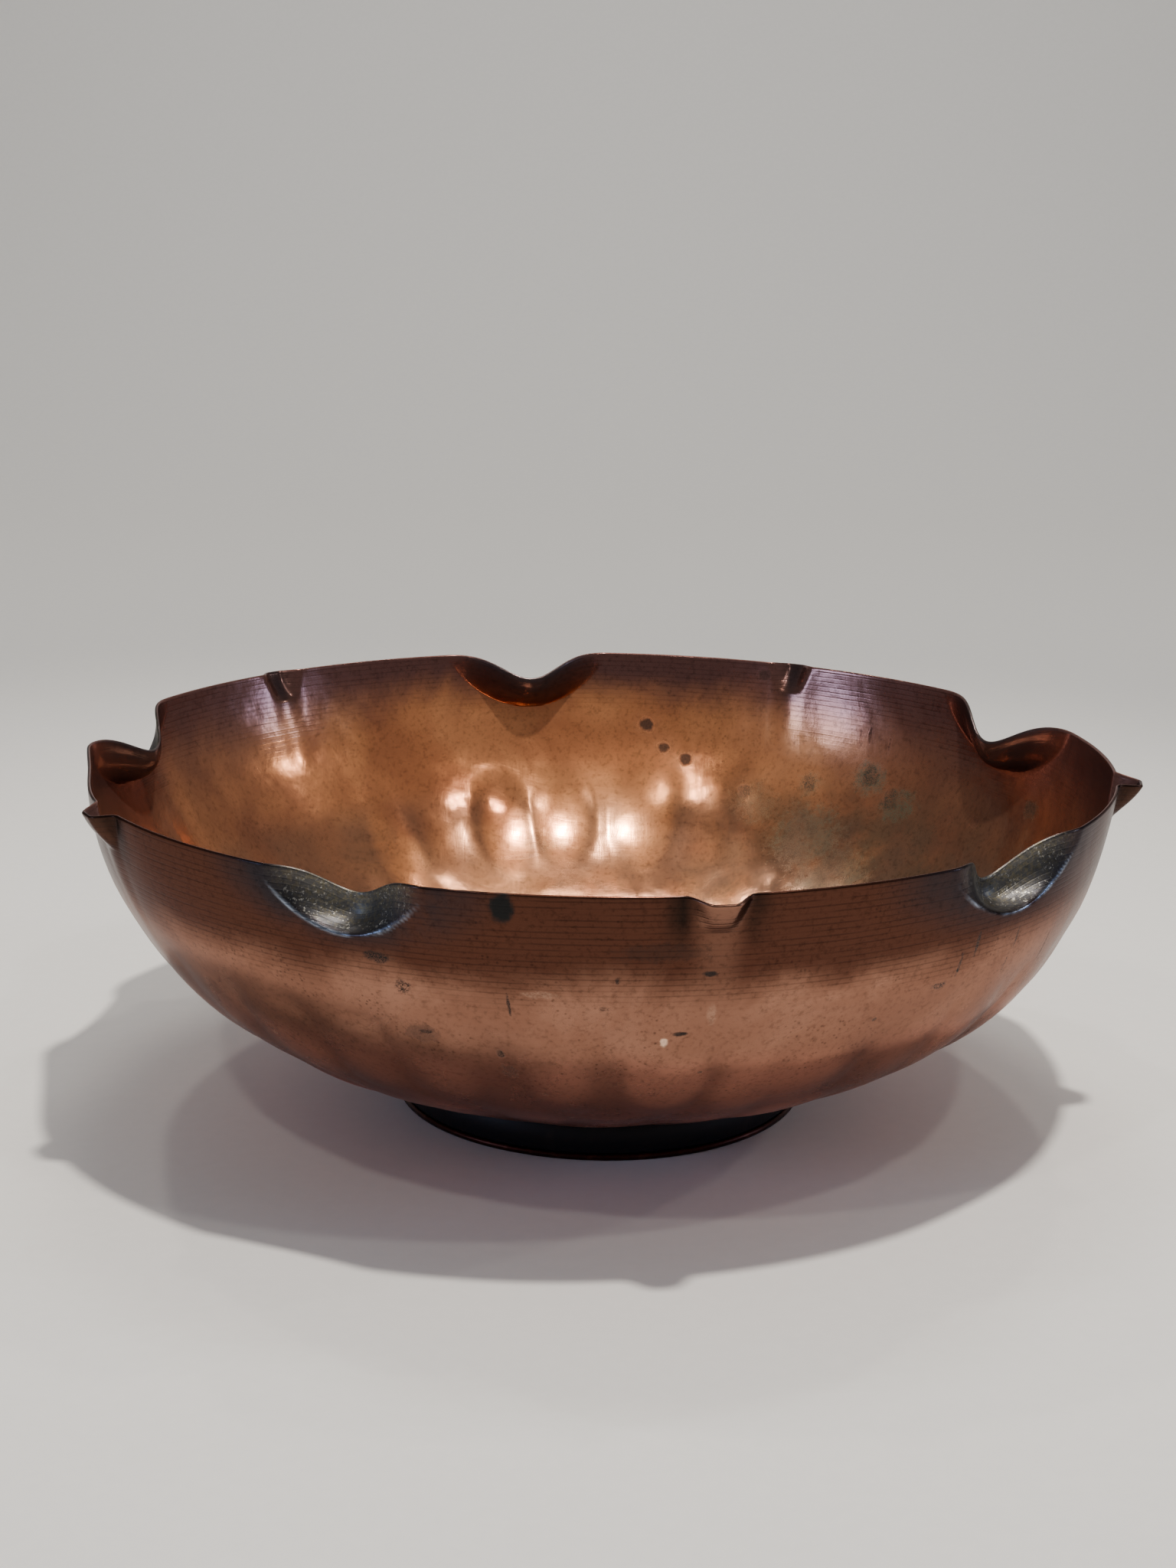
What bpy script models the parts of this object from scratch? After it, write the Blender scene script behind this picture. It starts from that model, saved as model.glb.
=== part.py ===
"""A raised copper bowl with a scalloped rim, standing on a soldered foot.

The shell is one sheet. Its section is a flat bottom and one Bezier curve up to the rim. Five scoops press the
rim inwards and down along a sharp crease, and five beaks between them pinch it outwards. The foot is a hoop
with a wire ring along its lower edge and a fillet of solder along its upper edge. Units are metres, +Z is up,
azimuths are in degrees from +X, and the bowl stands on the plane Z = 0.
"""
import math

import bmesh
import bpy
import numpy as np

# Shell: the section is the outer face, and the wall lies inside it.
RIM_RADIUS = 0.155
RIM_HEIGHT = 0.1068
RIM_LEAN = math.radians(8.8)        # of the section's end, outwards from the vertical
RIM_PULL = 0.0569                   # Bezier handle below the rim
BOTTOM_RADIUS = 0.060
BOTTOM_HEIGHT = 0.0112
BOTTOM_RISE = math.radians(16.0)    # of the section's start, upwards from the level
BOTTOM_PULL = 0.0577                # Bezier handle out from the bottom
WALL = 0.0010
RIM_SHIFT = -0.0026                 # the rim's circle lies off the foot's axis, along X
SHIFT_START = 0.45                  # share of the height at which that shift begins

# Scoops: centre azimuth, half width (degrees), inward travel and drop of the rim, depth of the crease.
SCOOPS = (
    (-114.2, 9.0, 0.0100, 0.0066, 0.0150),
    (-43.2, 11.3, 0.0130, 0.0102, 0.0168),
    (25.7, 13.5, 0.0118, 0.0096, 0.0185),
    (99.5, 11.0, 0.0138, 0.0068, 0.0180),
    (169.4, 13.6, 0.0136, 0.0084, 0.0178),
)

CREASE_ROUND = 0.8                  # how square the crease's curve is at its ends

# Beaks: centre azimuth, half width (degrees), outward travel of the rim, drop of its tip, height of the fold.
BEAKS = (
    (-78.7, 3.4, 0.0052, 0.0010, 0.0100),
    (-10.0, 3.3, 0.0068, 0.0010, 0.0110),
    (63.0, 3.2, 0.0050, 0.0008, 0.0100),
    (135.0, 3.2, 0.0050, 0.0008, 0.0100),
    (-149.0, 3.4, 0.0052, 0.0010, 0.0110),
)

BEAK_EDGE = 0.4                     # 0 for a rounded fold, 1 for one folded to a sharp V
BEAK_FADE = 1.5                     # power with which the fold fades down the wall

# Flats: centre azimuth, half width (degrees), how far the rim lies in, and the depth over which that fades.
FLATS = ((-168.0, 19.0, 0.0044, 0.0500),)

# Foot: a hoop under the shell, its wire ring and the solder that holds it.
FOOT_RADIUS = 0.0626                # the wire ring's outside
WIRE_HEIGHT = 0.0020
WIRE_WIDTH = 0.0022
HOOP_INSET = 0.0005                 # the hoop's outside, inside the wire ring's
HOOP_TAPER = 0.0012                 # how far the hoop's top lies further in
HOOP_WALL = 0.0012
SEAM_WIDTH = 0.0014
SEAM_DROP = 0.0010
GAP = 0.0003                        # between pieces that touch

# Fineness of the surfaces.
PLAIN_STEP = 5.0                    # degrees between columns of the plain wall
SCOOP_COLUMNS = 9                   # columns across a scoop
BEAK_COLUMNS = 7                    # columns across a beak
LOWER_ROWS = 7
UPPER_ROWS = 8
UPPER_MARGIN = 0.0030               # of the rim's band of close rows, below the deepest crease
HOOP_COLUMNS = 72
TINY = 1e-6


def clear_scene():
    """Remove every object of the scene."""
    for old in list(bpy.data.objects):
        bpy.data.objects.remove(old, do_unlink=True)


def finish(name, colour, roughness, metallic):
    """Principled material of one finish."""
    material = bpy.data.materials.new(name)
    material.use_nodes = True
    shader = material.node_tree.nodes["Principled BSDF"]
    shader.inputs["Base Color"].default_value = (*colour, 1.0)
    shader.inputs["Roughness"].default_value = roughness
    shader.inputs["Metallic"].default_value = metallic
    return material


def piece(name, shape, material):
    """Object of one named piece from a bmesh, shaded smooth with sharp edges kept."""
    bmesh.ops.recalc_face_normals(shape, faces=shape.faces[:])
    mesh = bpy.data.meshes.new(name)
    shape.to_mesh(mesh)
    shape.free()
    mesh.shade_smooth()
    mesh.set_sharp_from_angle(angle=math.radians(40))
    mesh.materials.append(material)
    made = bpy.data.objects.new(name, mesh)
    bpy.context.scene.collection.objects.link(made)
    return made


def section(t):
    """Radius and height of the outer face at parameters t, 0 at the bottom's edge and 1 at the rim."""
    ends = ((BOTTOM_RADIUS, BOTTOM_HEIGHT), (RIM_RADIUS, RIM_HEIGHT))
    out, up = BOTTOM_PULL * math.cos(BOTTOM_RISE), BOTTOM_PULL * math.sin(BOTTOM_RISE)
    back, down = RIM_PULL * math.sin(RIM_LEAN), RIM_PULL * math.cos(RIM_LEAN)
    points = (ends[0], (ends[0][0] + out, ends[0][1] + up), (ends[1][0] - back, ends[1][1] - down), ends[1])
    weights = ((1 - t) ** 3, 3 * (1 - t) ** 2 * t, 3 * (1 - t) * t**2, t**3)
    return tuple(sum(w * p[axis] for w, p in zip(weights, points)) for axis in (0, 1))


def section_depths():
    """Arc lengths below the rim, against the section's parameter, both rising towards the rim's end."""
    t = np.linspace(0.0, 1.0, 401)
    r, z = section(t)
    length = np.concatenate(([0.0], np.cumsum(np.hypot(np.diff(r), np.diff(z)))))
    return t, length[-1] - length


def bump(angle, centre, half):
    """Smooth hump over azimuth: a raised cosine, 1 at the centre and 0 past half, and the offset itself."""
    offset = (angle - centre + 180.0) % 360.0 - 180.0
    share = np.clip(np.abs(offset) / half, 0.0, 1.0)
    return 0.5 * (1.0 + np.cos(np.pi * share)), share


def shell_point(angle, depth):
    """Outer face at azimuths (degrees) and depths below the rim along the section, as x, y, z.

    A scoop turns the sheet above its crease inwards on a parabola: at share f of the way from the crease to
    the rim, the travel grows as 2f - f^2, which leaves the crease level and meets the rim upright. A beak
    draws the sheet out as a sharp V that fades down the wall.
    """
    t, below = section_depths()
    r, z = section(np.interp(depth, below[::-1], t[::-1]))
    inward = np.zeros_like(r)
    drop = np.zeros_like(r)
    for centre, half, travel, fall, crease in SCOOPS:
        hump, share = bump(angle, centre, half)
        edge = crease * np.maximum(1.0 - share**2, TINY) ** CREASE_ROUND
        f = np.clip(1.0 - depth / edge, 0.0, 1.0)
        rise = 2.0 * f - f**2
        inward += travel * hump * rise
        drop += fall * hump**2 * rise
    for centre, half, travel, fall, height in BEAKS:
        hump, share = bump(angle, centre, half)
        fade = np.clip(1.0 - depth / height, 0.0, 1.0) ** BEAK_FADE
        peak = (1.0 - BEAK_EDGE) * hump + BEAK_EDGE * (1.0 - share)
        inward -= travel * peak * fade
        drop += fall * peak * fade
    for centre, half, travel, height in FLATS:
        hump = bump(angle, centre, half)[0]
        inward += travel * hump * np.clip(1.0 - depth / height, 0.0, 1.0) ** 2
    high = np.clip((z / RIM_HEIGHT - SHIFT_START) / (1.0 - SHIFT_START), 0.0, 1.0)
    turn = np.radians(angle)
    x = (r - inward) * np.cos(turn) + RIM_SHIFT * high**2 * (3.0 - 2.0 * high)
    return x, (r - inward) * np.sin(turn), z - drop


def shell_columns():
    """Azimuths of the grid's columns: even steps, closer across each scoop and beak."""
    spans = [(c, h, SCOOP_COLUMNS) for c, h, *_ in SCOOPS] + [(c, h, BEAK_COLUMNS) for c, h, *_ in BEAKS]
    spans = sorted((c - h, c + h, n) for c, h, n in spans)
    columns = []
    for (low, high, count), after in zip(spans, spans[1:] + [(spans[0][0] + 360.0, 0.0, 0)]):
        columns += list(np.linspace(low, high, count))
        steps = max(1, round((after[0] - high) / PLAIN_STEP))
        columns += list(np.linspace(high, after[0], steps + 1)[1:-1])
    return np.array(columns)


def shell_depths():
    """Depths of the grid's rows, from the bottom's edge up to the rim."""
    bottom = section_depths()[1][0]
    band = max(crease for *_, crease in SCOOPS) + UPPER_MARGIN
    lower = np.linspace(bottom, band, LOWER_ROWS + 1)[:-1]
    return np.concatenate((lower, np.linspace(band, 0.0, UPPER_ROWS + 1)))


def bowl_body():
    """The shell: a grid over azimuth and depth, closed by a flat bottom, then given its wall."""
    columns = shell_columns()
    depths = shell_depths()
    angle, depth = np.meshgrid(columns, depths)
    points = np.stack(shell_point(angle, depth), axis=-1)
    shape = bmesh.new()
    rows = [[shape.verts.new(p) for p in row] for row in points]
    count = len(columns)
    for lower, upper in zip(rows, rows[1:]):
        for i in range(count):
            j = (i + 1) % count
            shape.faces.new((lower[i], lower[j], upper[j], upper[i]))
    centre = shape.verts.new((0.0, 0.0, BOTTOM_HEIGHT))
    for i in range(count):
        shape.faces.new((centre, rows[0][(i + 1) % count], rows[0][i]))
    copper = finish("copper", (0.50, 0.20, 0.11), 0.28, 1.0)
    body = piece("bowl_body", shape, copper)
    wall = body.modifiers.new("wall", "SOLIDIFY")
    wall.thickness = WALL
    wall.offset = -1.0
    wall.use_even_offset = True
    return body


def turned(name, outline, material):
    """Ring turned about +Z from a closed outline of (radius, height) points."""
    shape = bmesh.new()
    turns = [2.0 * math.pi * i / HOOP_COLUMNS for i in range(HOOP_COLUMNS)]
    loops = [[shape.verts.new((r * math.cos(a), r * math.sin(a), z)) for r, z in outline] for a in turns]
    for i, loop in enumerate(loops):
        after = loops[(i + 1) % HOOP_COLUMNS]
        for k in range(len(outline)):
            m = (k + 1) % len(outline)
            shape.faces.new((loop[k], after[k], after[m], loop[m]))
    return piece(name, shape, material)


def foot_base_ring():
    """The wire ring: flat underneath to stand on, with a rounded outside."""
    inner = FOOT_RADIUS - WIRE_WIDTH
    bend = WIRE_HEIGHT / 4.0
    outline = [
        (inner, 0.0),
        (FOOT_RADIUS - bend, 0.0),
        (FOOT_RADIUS, bend),
        (FOOT_RADIUS, WIRE_HEIGHT - bend),
        (FOOT_RADIUS - bend, WIRE_HEIGHT),
        (inner, WIRE_HEIGHT),
    ]
    return turned("foot_base_ring", outline, finish("bare_copper", (0.30, 0.11, 0.07), 0.35, 1.0))


def underside(radius):
    """Height at which a piece of the foot meets the shell at a radius, the gap taken off."""
    r, z = section(np.linspace(0.0, 1.0, 401))
    return float(np.interp(radius, r, z)) - GAP


def foot_ring():
    """The hoop between the wire ring and the shell, its upper edge cut to the shell's slope."""
    low = FOOT_RADIUS - HOOP_INSET
    top = low - HOOP_TAPER
    z_low = WIRE_HEIGHT + GAP
    outline = [
        (low - HOOP_WALL, z_low),
        (low, z_low),
        (top, underside(top)),
        (top - HOOP_WALL, underside(top - HOOP_WALL)),
    ]
    return turned("foot_ring", outline, finish("black_patina", (0.012, 0.011, 0.012), 0.55, 0.6))


def foot_solder_seam():
    """The fillet of solder in the corner between the hoop's outside and the shell's underside."""
    top = FOOT_RADIUS - HOOP_INSET - HOOP_TAPER
    hoop_height = underside(top) - WIRE_HEIGHT - GAP
    inner = top + GAP
    outline = [(inner + HOOP_TAPER * SEAM_DROP / hoop_height, underside(inner) - SEAM_DROP)]
    outline += [(inner + share * SEAM_WIDTH, underside(inner + share * SEAM_WIDTH)) for share in (1.0, 0.5, 0.0)]
    return turned("foot_solder_seam", outline, finish("solder", (0.30, 0.28, 0.26), 0.45, 0.9))


def main():
    clear_scene()
    bowl_body()
    foot_ring()
    foot_base_ring()
    foot_solder_seam()


main()
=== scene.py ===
"""Looks of a raised copper bowl: a hammered shell with a scooped and beaked rim, on a blackened foot.

Laid out as a Blender add-on and run as a script. Sizes are metres, +Z is up, azimuths are degrees from +X.
A depth is an arc length down the shell's wall from its rim.
"""

import math

import bpy
import numpy as np
from bpy.props import FloatProperty, FloatVectorProperty, IntProperty, PointerProperty
from mathutils import Matrix, Vector


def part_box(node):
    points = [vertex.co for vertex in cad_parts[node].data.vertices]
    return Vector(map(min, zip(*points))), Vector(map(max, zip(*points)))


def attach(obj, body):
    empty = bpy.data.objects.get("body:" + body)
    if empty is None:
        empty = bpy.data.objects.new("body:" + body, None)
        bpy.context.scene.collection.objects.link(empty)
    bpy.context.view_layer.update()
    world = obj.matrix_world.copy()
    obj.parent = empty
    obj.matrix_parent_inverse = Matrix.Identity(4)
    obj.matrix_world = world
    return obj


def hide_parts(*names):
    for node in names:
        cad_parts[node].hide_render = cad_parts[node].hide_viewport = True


bl_info = {
    "name": "Raised Copper Bowl",
    "version": (1, 0, 0),
    "blender": (4, 5, 0),
    "location": "View3D > Sidebar > Copper Bowl",
    "description": "Builds the shell, the foot and the stage of a hammered copper bowl",
    "category": "Object",
}

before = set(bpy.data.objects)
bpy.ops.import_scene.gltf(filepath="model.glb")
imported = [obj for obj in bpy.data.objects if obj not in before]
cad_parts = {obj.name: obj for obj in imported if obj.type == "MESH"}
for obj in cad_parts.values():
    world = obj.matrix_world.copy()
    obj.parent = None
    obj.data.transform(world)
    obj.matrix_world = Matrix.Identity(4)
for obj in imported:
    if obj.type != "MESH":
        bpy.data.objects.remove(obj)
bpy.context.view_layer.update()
BODY_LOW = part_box("bowl_body")[0]
HOOP_LOW, HOOP_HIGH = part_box("foot_ring")
WIRE_LOW, WIRE_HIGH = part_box("foot_base_ring")
SEAM_LOW, SEAM_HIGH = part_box("foot_solder_seam")

MM = 0.001
TINY = 1e-6

# Scoops: centre azimuth, half width (degrees), inward travel and drop of the rim, depth of the crease.
SCOOPS = (
    (-114.2, 9.0, 0.0100, 0.0066, 0.0150),
    (-43.2, 11.3, 0.0130, 0.0102, 0.0168),
    (25.7, 13.5, 0.0118, 0.0096, 0.0185),
    (99.5, 11.0, 0.0138, 0.0068, 0.0180),
    (169.4, 13.6, 0.0136, 0.0084, 0.0178),
)
CREASE_ROUND = 0.8                  # how square the crease's curve is at its ends
CREASE_SOFT = 0.05                  # share of the crease's depth over which the fold turns

# Beaks: centre azimuth, half width (degrees), outward travel of the rim, drop of its tip, height of the fold.
BEAKS = (
    (-78.7, 3.4, 0.0052, 0.0010, 0.0100),
    (-10.0, 3.3, 0.0068, 0.0010, 0.0110),
    (63.0, 3.2, 0.0050, 0.0008, 0.0100),
    (135.0, 3.2, 0.0050, 0.0008, 0.0100),
    (-149.0, 3.4, 0.0052, 0.0010, 0.0110),
)
BEAK_HIGHLIGHT = (1.0, 0.15, 0.4, 0.4, 0.15)   # share of each beak's face painted bright, as a painted highlight
BEAK_SIDE = 0.74                    # share of a beak's half width taken by its steep side
BEAK_BODY = 0.6                     # how full a beak's fold stays on its way down
BEAK_TAPER = 0.40                   # how much narrower a beak is at its foot
BEAK_FADE = 1.2                     # power with which the fold fades down the wall
BEAK_RIDGE = 0.0006                 # height of the faint ridge that runs on below each beak
BEAK_RIDGE_LENGTH = 0.045           # depth at which that ridge has died out

# Flats: centre azimuth, half width (degrees), how far the rim lies in, and the depth over which that fades.
FLATS = ((-168.0, 19.0, 0.0044, 0.0500),)

# Rings of hammered lobes: how many fewer than the first ring has, depth, half height, share of the pitch that
# is the half width, and height as a share.
LOBE_RINGS = (
    (0, 0.066, 0.031, 0.60, 1.0),
    (5, 0.099, 0.021, 0.64, 0.80),
    (14, 0.126, 0.018, 0.66, 0.70),
)
LOBE_SEED = 11
LOBE_JOIN = 4.0                     # power of the p-norm that joins neighbouring lobes
LOBE_MEAN = 0.6                     # share of a lobe's height that counts as the plain wall
WORKED_DEPTH = (0.030, 0.048)       # depths between which the hammering sets in
WORKED_END = 0.014                  # height above the bottom's edge over which it dies out

# Waves of a hand-raised wall: count round the wall, phase, drift with depth (radians per metre), height share.
WAVES = (
    (2, 0.4, 9.0, 1.0), (3, 2.1, -14.0, 0.8), (5, 4.4, 22.0, 0.5), (7, 1.3, -31.0, 0.4), (9, 5.2, 38.0, 0.35),
)

# Sides of the inside: centre azimuth and half width of the part painted lighter, as painted light, and of the
# corroded part.
LIT_SIDE, DULLED_SIDE = (98.0, 80.0), (44.0, 52.0)
DULLED_DEPTH = (0.030, 0.058)
GIRTH = 0.92                        # metres of wall that a turn of its map stands for


# ---- Shapes

def offset_from(angle, centre):
    """Degrees from a centre azimuth, between -180 and 180."""
    return (angle - centre + 180.0) % 360.0 - 180.0


def bump(angle, centre, half):
    """Raised cosine over azimuth, 1 at the centre and 0 past half, with the offset's share of half."""
    share = np.clip(np.abs(offset_from(angle, centre)) / half, 0.0, 1.0)
    return 0.5 * (1.0 + np.cos(np.pi * share)), share


def section(sizes, t):
    """Radius and height of the plain outer face: a cubic Bezier from the bottom's edge (t 0) to the rim."""
    low = (sizes.bottom_radius, sizes.bottom_height)
    high = (sizes.rim_radius, sizes.rim_height)
    out, up = (sizes.bottom_pull * f(sizes.bottom_rise) for f in (math.cos, math.sin))
    back, down = (sizes.rim_pull * f(sizes.rim_lean) for f in (math.sin, math.cos))
    points = (low, (low[0] + out, low[1] + up), (high[0] - back, high[1] - down), high)
    weights = ((1 - t) ** 3, 3 * (1 - t) ** 2 * t, 3 * (1 - t) * t**2, t**3)
    return tuple(sum(w * p[axis] for w, p in zip(weights, points)) for axis in (0, 1))


def section_at(sizes, depth):
    """Radius and height of the plain outer face at depths below the rim, and the wall's whole depth."""
    t = np.linspace(0.0, 1.0, 801)
    r, z = section(sizes, t)
    length = np.concatenate(([0.0], np.cumsum(np.hypot(np.diff(r), np.diff(z)))))
    below = length[-1] - length
    at = np.interp(depth, below[::-1], t[::-1])
    return (*section(sizes, at), below[0])


def hammer_blows(sizes):
    """Centres (azimuth, depth), half sizes along and down the wall, and heights of the hammer's lobes.

    Tall lobes stand side by side round the lower half of the wall, then two rings of rounder ones lead to
    the bottom. Each is moved, stretched and weakened a little by a seeded draw.
    """
    draw = np.random.default_rng(LOBE_SEED)
    blows = []
    for fewer, depth, tall, wide, height in LOBE_RINGS:
        count = sizes.lobe_count - fewer
        pitch = 360.0 / count
        for i in range(count):
            shift, sink, stretch, width, weight = draw.uniform(-1.0, 1.0, 5)
            blows.append((
                pitch * (i + 0.22 * shift),
                depth + 0.006 * sink,
                tall * (1.0 + 0.22 * stretch),
                pitch * wide * (1.0 + 0.16 * width),
                height * (0.72 + 0.28 * weight),
            ))
    return blows


def hammered(sizes, angle, depth):
    """Height of the hammering outwards, as a share: the tallest lobe near a point, joined by a soft maximum.

    A lobe is a paraboloid, 1 at its centre and 0 on an ellipse round it. The soft maximum is the p-norm of
    the lobes, which leaves a narrow rounded valley between neighbours.
    """
    total = np.zeros_like(angle)
    for centre, middle, tall, wide, weight in hammer_blows(sizes):
        across = offset_from(angle, centre) / wide
        down = (depth - middle) / tall
        total += (weight * np.clip(1.0 - across**2 - down**2, 0.0, 1.0)) ** LOBE_JOIN
    return total ** (1.0 / LOBE_JOIN)


def smooth(value, low, high):
    """0 below low, 1 above high, and a cubic between them."""
    share = np.clip((value - low) / (high - low), 0.0, 1.0)
    return share**2 * (3.0 - 2.0 * share)


def unevenness(angle, depth):
    """Low waves round the wall, of a hand-raised shape: five sines of 2 to 9 waves that drift with depth."""
    turn = np.radians(angle)
    return sum(height * np.sin(count * turn + phase + drift * depth) for count, phase, drift, height in WAVES)


def shell_face(sizes, angle, depth):
    """Outer face of the shell at azimuths and depths, as an array of points.

    A scoop turns the sheet above its crease inwards: at share f of the way from the crease to the rim, the
    travel grows as 2f - f^2, so the sheet leaves the crease level and meets the rim upright. A beak draws
    the sheet out as a box fold, with a flat front and steep sides, that narrows and fades down the wall, and
    a faint ridge runs on below it. Hammering and unevenness move the sheet along its plain section's normal.
    """
    r, z, whole = section_at(sizes, depth)
    inward = np.zeros_like(r)
    drop = np.zeros_like(r)
    for centre, half, travel, fall, crease in SCOOPS:
        hump, share = bump(angle, centre, half)
        edge = crease * np.maximum(1.0 - share**2, TINY) ** CREASE_ROUND
        x = 1.0 - depth / edge
        f = np.clip(0.5 * (x + np.sqrt(x**2 + CREASE_SOFT**2)), 0.0, 1.0)
        rise = 2.0 * f - f**2
        inward += travel * hump * rise
        drop += fall * hump**2 * rise
    for centre, half, travel, fall, height in BEAKS:
        low = np.clip(depth / height, 0.0, 1.0)
        _, share = bump(angle, centre, half * (1.0 - BEAK_TAPER * low))
        fade = (1.0 - low) ** BEAK_FADE * (1.0 + BEAK_BODY * low)
        peak = smooth(1.0 - share, 0.0, BEAK_SIDE)
        inward -= travel * peak * fade
        drop += fall * peak * fade
        ridge = bump(angle, centre, 0.8 * half)[0] * low
        inward -= BEAK_RIDGE * ridge * np.clip(1.0 - depth / BEAK_RIDGE_LENGTH, 0.0, 1.0)
    for centre, half, travel, height in FLATS:
        hump = bump(angle, centre, half)[0]
        inward += travel * hump * np.clip(1.0 - depth / height, 0.0, 1.0) ** 2
    quiet = np.sin(np.pi * np.clip(depth / whole, 0.0, 1.0) ** 0.8)
    worked = smooth(depth, *WORKED_DEPTH) * smooth(whole - depth, 0.0, WORKED_END)
    swell = sizes.lobe_height * worked * (hammered(sizes, angle, depth) - LOBE_MEAN)
    swell += sizes.unevenness * unevenness(angle, depth) * quiet
    step = 0.5 * MM
    r2, z2, _ = section_at(sizes, np.minimum(depth + step, whole))
    r1, z1, _ = section_at(sizes, np.maximum(depth - step, 0.0))
    run, climb = r1 - r2, z1 - z2
    size = np.hypot(run, climb)
    radius = r - inward + swell * climb / size
    height = z - drop - swell * run / size
    high = np.clip((z / sizes.rim_height - sizes.shift_start) / (1.0 - sizes.shift_start), 0.0, 1.0)
    turn = np.radians(angle)
    x = radius * np.cos(turn) + sizes.rim_shift * high**2 * (3.0 - 2.0 * high)
    return np.stack((x, radius * np.sin(turn), height), axis=-1)


def shell_grid(sizes):
    """Azimuths of the columns and depths of the rows: close at scoops and beaks, wide elsewhere."""
    spans = [(c - h, c + h, sizes.scoop_step) for c, h, *_ in SCOOPS]
    spans += [(c - h, c + h, sizes.beak_step) for c, h, *_ in BEAKS]
    spans.sort()
    columns = []
    for (low, high, step), (after, *_) in zip(spans, spans[1:] + [(spans[0][0] + 360.0,)]):
        for start, end, pitch in ((low, high, step), (high, after, sizes.plain_step)):
            columns.append(np.linspace(start, end, max(2, round((end - start) / pitch)), endpoint=False))
    whole = section_at(sizes, np.zeros(1))[2]
    band = max(crease for *_, crease in SCOOPS) + 4.0 * MM
    upper = np.linspace(0.0, band, sizes.upper_rows, endpoint=False)
    return np.concatenate(columns), np.concatenate((upper, np.linspace(band, whole, sizes.lower_rows)))


def face_normals(points):
    """Outward unit normals of a grid of points whose rows run down the wall and whose columns close up."""
    along = np.roll(points, -1, axis=1) - np.roll(points, 1, axis=1)
    down = np.gradient(points, axis=0)
    normal = np.cross(along, -down)
    return normal / np.linalg.norm(normal, axis=-1, keepdims=True)


def stitch(rows, columns):
    """Quads of a grid of that many rows and closed columns, facing out when rows run down the outside."""
    a = np.arange(rows - 1)[:, None] * columns + np.arange(columns)[None, :]
    b = np.arange(rows - 1)[:, None] * columns + (np.arange(columns)[None, :] + 1) % columns
    return np.stack((a, a + columns, b + columns, b), axis=-1).reshape(-1, 4)


def add_object(name, data):
    """Object of a mesh, light or camera, linked to the scene."""
    made = bpy.data.objects.new(name, data)
    bpy.context.scene.collection.objects.link(made)
    return made


def mesh_piece(name, points, quads, tips=()):
    """Object of a grid of quads and, for each tip, a fan from its point to a closed row of the grid."""
    corners = [tuple(q) for q in quads.tolist()]
    for centre, row, outward in tips:
        after = np.roll(row, -1)
        pair = (after, row) if outward else (row, after)
        fan = np.stack((np.full_like(row, centre), *pair), axis=-1)
        corners += [tuple(f) for f in fan.tolist()]
    mesh = bpy.data.meshes.new(name)
    mesh.from_pydata(points.reshape(-1, 3).tolist(), [], corners)
    mesh.validate()
    mesh.shade_smooth()
    return add_object(name, mesh)


def store(mesh, name, values):
    """Float attribute of one value per point."""
    made = mesh.attributes.new(name, "FLOAT", "POINT")
    made.data.foreach_set("value", np.asarray(values, np.float32).ravel())


def wall_map(mesh, angle, depth):
    """UV map of the wall: turns of azimuth across, metres of depth down, each face on one side of the seam."""
    loops = np.empty(len(mesh.loops), np.int32)
    mesh.loops.foreach_get("vertex_index", loops)
    starts = np.empty(len(mesh.polygons), np.int32)
    mesh.polygons.foreach_get("loop_start", starts)
    totals = np.empty(len(mesh.polygons), np.int32)
    mesh.polygons.foreach_get("loop_total", totals)
    turns = (np.asarray(angle).ravel()[loops] / 360.0) % 1.0
    first = np.repeat(turns[starts], totals)
    turns += np.round(first - turns)
    layer = mesh.uv_layers.new(name="wall")
    places = np.stack((turns, np.asarray(depth).ravel()[loops]), axis=-1)
    layer.data.foreach_set("uv", places.astype(np.float32).ravel())


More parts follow.
